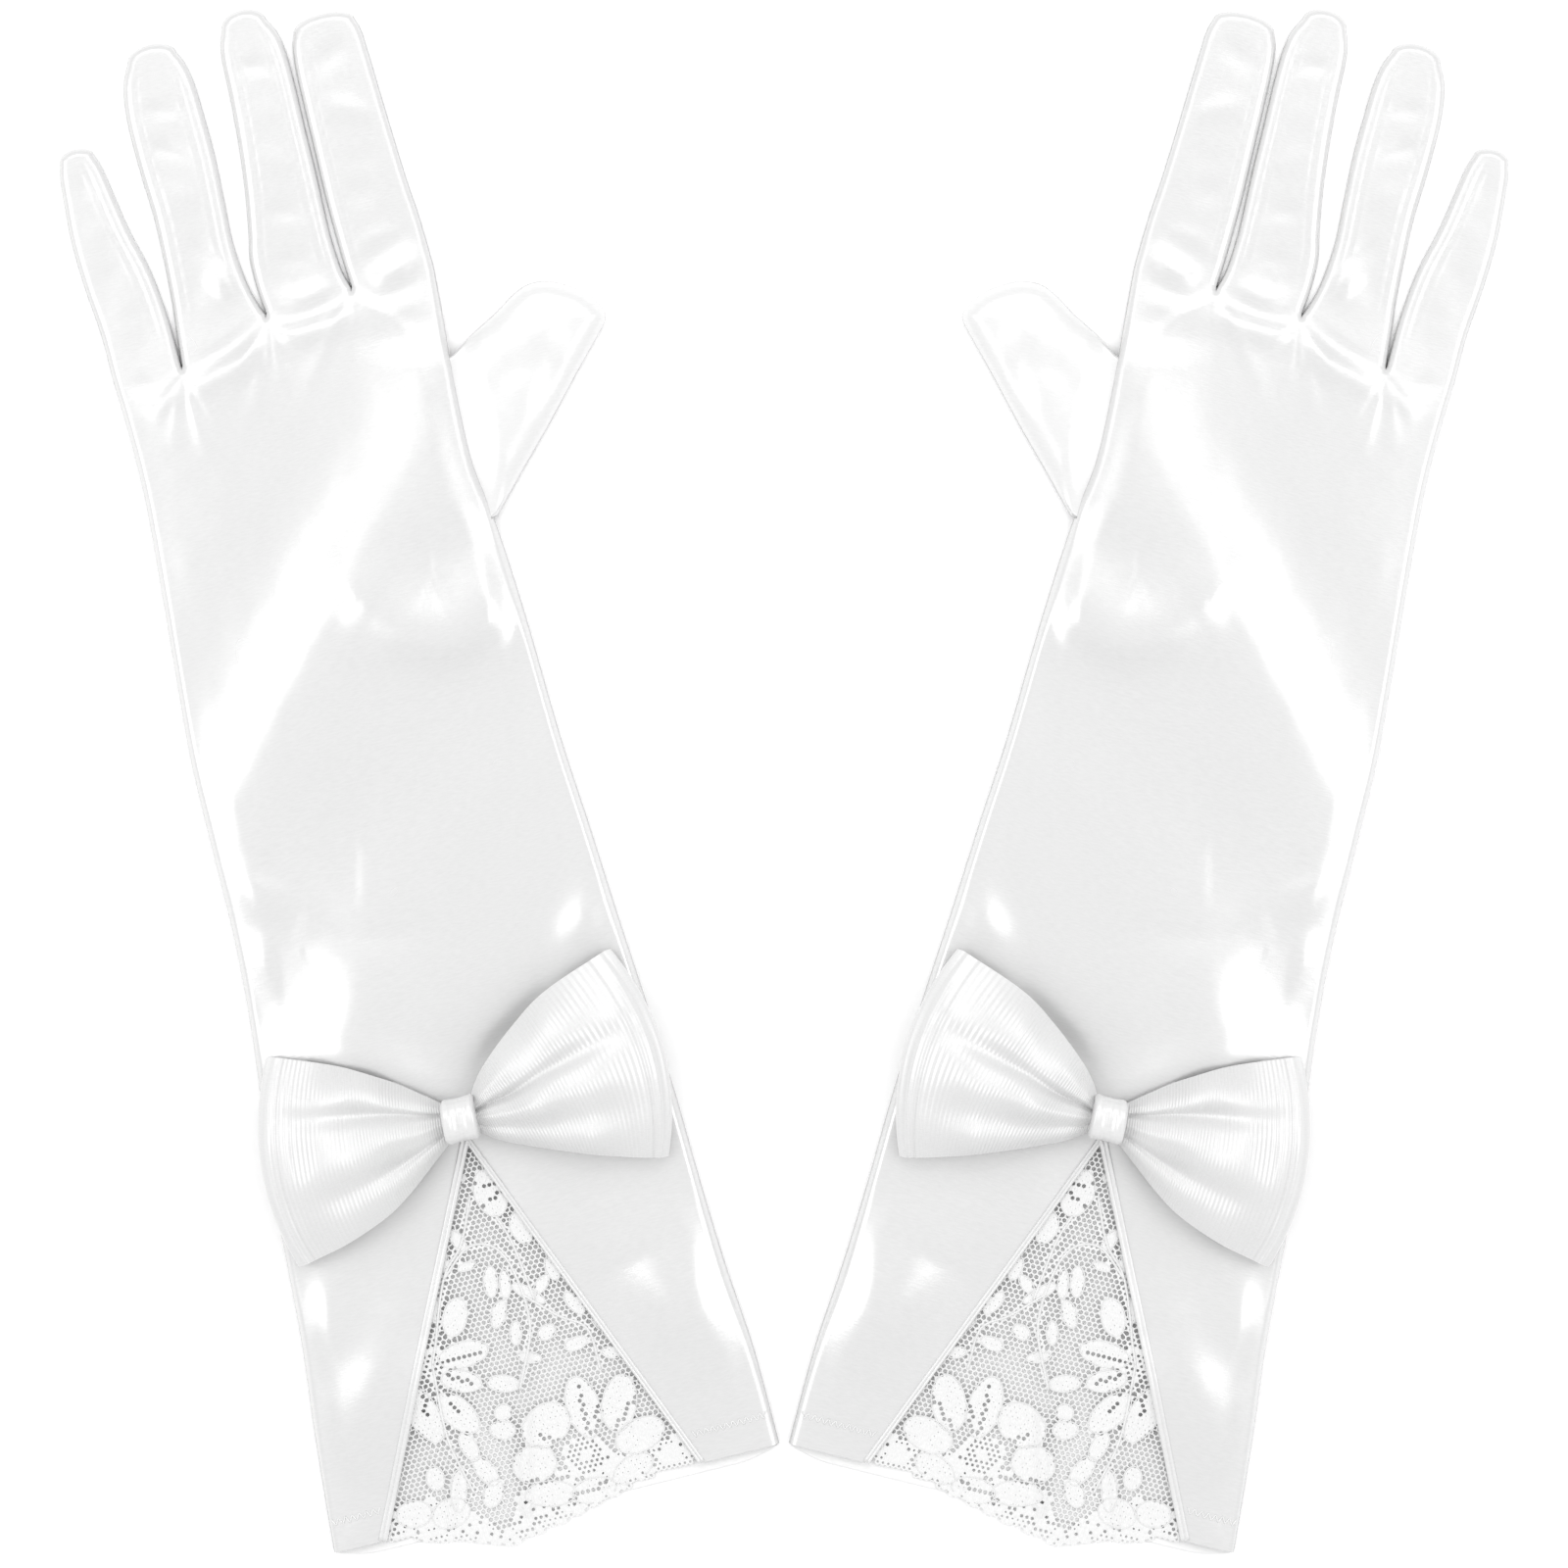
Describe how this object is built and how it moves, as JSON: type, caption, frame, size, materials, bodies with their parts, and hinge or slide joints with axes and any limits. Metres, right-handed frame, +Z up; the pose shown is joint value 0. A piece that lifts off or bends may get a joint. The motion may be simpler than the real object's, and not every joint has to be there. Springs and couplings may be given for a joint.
{
  "type": "opera gloves",
  "caption": "Elbow-length satin opera gloves laid flat, each with a flared cuff, a lace gusset and a ribbon bow.",
  "frame": {"origin": "under the middle of the pair, on the surface that the gloves lie on, at the centre of the bounding box seen from above", "axes": "+Y from the cuffs towards the fingertips, +Z up from the palms to the backs of the hands, +X from the left glove to the right glove"},
  "size_m": [0.3724, 0.3976, 0.0237],
  "materials": {
    "satin": "soft satin",
    "lace": "matte floral net lace",
    "ribbon": "ribbed grosgrain"
  },
  "bodies": {
    "left_sleeve": {"left_sleeve_back_panel": "satin", "left_sleeve_palm_panel": "satin", "left_lace_gusset": "lace", "left_gusset_binding_outer": "satin", "left_gusset_binding_inner": "satin", "left_bow_loop_outer": "ribbon", "left_bow_loop_inner": "ribbon", "left_bow_knot": "satin"},
    "left_hand": {"left_hand_back_panel": "satin", "left_hand_palm_panel": "satin"},
    "left_thumb": {"left_thumb": "satin"},
    "left_little": {"left_little_back_strip": "satin", "left_little_palm_strip": "satin", "left_little_fourchette_thumbward": "satin"},
    "left_ring": {"left_ring_back_strip": "satin", "left_ring_palm_strip": "satin", "left_ring_fourchette_outward": "satin", "left_ring_fourchette_thumbward": "satin"},
    "left_middle": {"left_middle_back_strip": "satin", "left_middle_palm_strip": "satin", "left_middle_fourchette_outward": "satin", "left_middle_fourchette_thumbward": "satin"},
    "left_index": {"left_index_back_strip": "satin", "left_index_palm_strip": "satin", "left_index_fourchette_outward": "satin"},
    "right_sleeve": {"right_sleeve_back_panel": "satin", "right_sleeve_palm_panel": "satin", "right_lace_gusset": "lace", "right_gusset_binding_outer": "satin", "right_gusset_binding_inner": "satin", "right_bow_loop_outer": "ribbon", "right_bow_loop_inner": "ribbon", "right_bow_knot": "satin"},
    "right_hand": {"right_hand_back_panel": "satin", "right_hand_palm_panel": "satin"},
    "right_thumb": {"right_thumb": "satin"},
    "right_little": {"right_little_back_strip": "satin", "right_little_palm_strip": "satin", "right_little_fourchette_thumbward": "satin"},
    "right_ring": {"right_ring_back_strip": "satin", "right_ring_palm_strip": "satin", "right_ring_fourchette_outward": "satin", "right_ring_fourchette_thumbward": "satin"},
    "right_middle": {"right_middle_back_strip": "satin", "right_middle_palm_strip": "satin", "right_middle_fourchette_outward": "satin", "right_middle_fourchette_thumbward": "satin"},
    "right_index": {"right_index_back_strip": "satin", "right_index_palm_strip": "satin", "right_index_fourchette_outward": "satin"}
  },
  "joints": [
    {"name": "gloves_apart", "type": "slide", "parent": "left_sleeve", "child": "right_sleeve", "axis": [1, 0, 0], "range_m": [0, 0.2]},
    {"name": "left_wrist_fold", "type": "hinge", "parent": "left_sleeve", "child": "left_hand", "pos_m": [-0.11443, 0.04884, 0.01], "axis": [0.9711, 0.2385, 0], "range_deg": [0, 90]},
    {"name": "left_thumb_fold", "type": "hinge", "parent": "left_hand", "child": "left_thumb", "pos_m": [-0.07877, 0.08983, 0.009], "axis": [0.2385, -0.9711, 0], "range_deg": [0, 90]},
    {"name": "left_little_fold", "type": "hinge", "parent": "left_hand", "child": "left_little", "pos_m": [-0.16363, 0.10575, 0.008], "axis": [0.9711, 0.2385, 0], "range_deg": [0, 90]},
    {"name": "left_ring_fold", "type": "hinge", "parent": "left_hand", "child": "left_ring", "pos_m": [-0.144, 0.11469, 0.008], "axis": [0.9711, 0.2385, 0], "range_deg": [0, 90]},
    {"name": "left_middle_fold", "type": "hinge", "parent": "left_hand", "child": "left_middle", "pos_m": [-0.12242, 0.12411, 0.008], "axis": [0.9711, 0.2385, 0], "range_deg": [0, 90]},
    {"name": "left_index_fold", "type": "hinge", "parent": "left_hand", "child": "left_index", "pos_m": [-0.10078, 0.12993, 0.008], "axis": [0.9711, 0.2385, 0], "range_deg": [0, 90]},
    {"name": "right_wrist_fold", "type": "hinge", "parent": "right_sleeve", "child": "right_hand", "pos_m": [0.11443, 0.04884, 0.01], "axis": [0.9711, -0.2385, 0], "range_deg": [0, 90]},
    {"name": "right_thumb_fold", "type": "hinge", "parent": "right_hand", "child": "right_thumb", "pos_m": [0.07877, 0.08983, 0.009], "axis": [0.2385, 0.9711, 0], "range_deg": [0, 90]},
    {"name": "right_little_fold", "type": "hinge", "parent": "right_hand", "child": "right_little", "pos_m": [0.16363, 0.10575, 0.008], "axis": [0.9711, -0.2385, 0], "range_deg": [0, 90]},
    {"name": "right_ring_fold", "type": "hinge", "parent": "right_hand", "child": "right_ring", "pos_m": [0.144, 0.11469, 0.008], "axis": [0.9711, -0.2385, 0], "range_deg": [0, 90]},
    {"name": "right_middle_fold", "type": "hinge", "parent": "right_hand", "child": "right_middle", "pos_m": [0.12242, 0.12411, 0.008], "axis": [0.9711, -0.2385, 0], "range_deg": [0, 90]},
    {"name": "right_index_fold", "type": "hinge", "parent": "right_hand", "child": "right_index", "pos_m": [0.10078, 0.12993, 0.008], "axis": [0.9711, -0.2385, 0], "range_deg": [0, 90]}
  ]
}
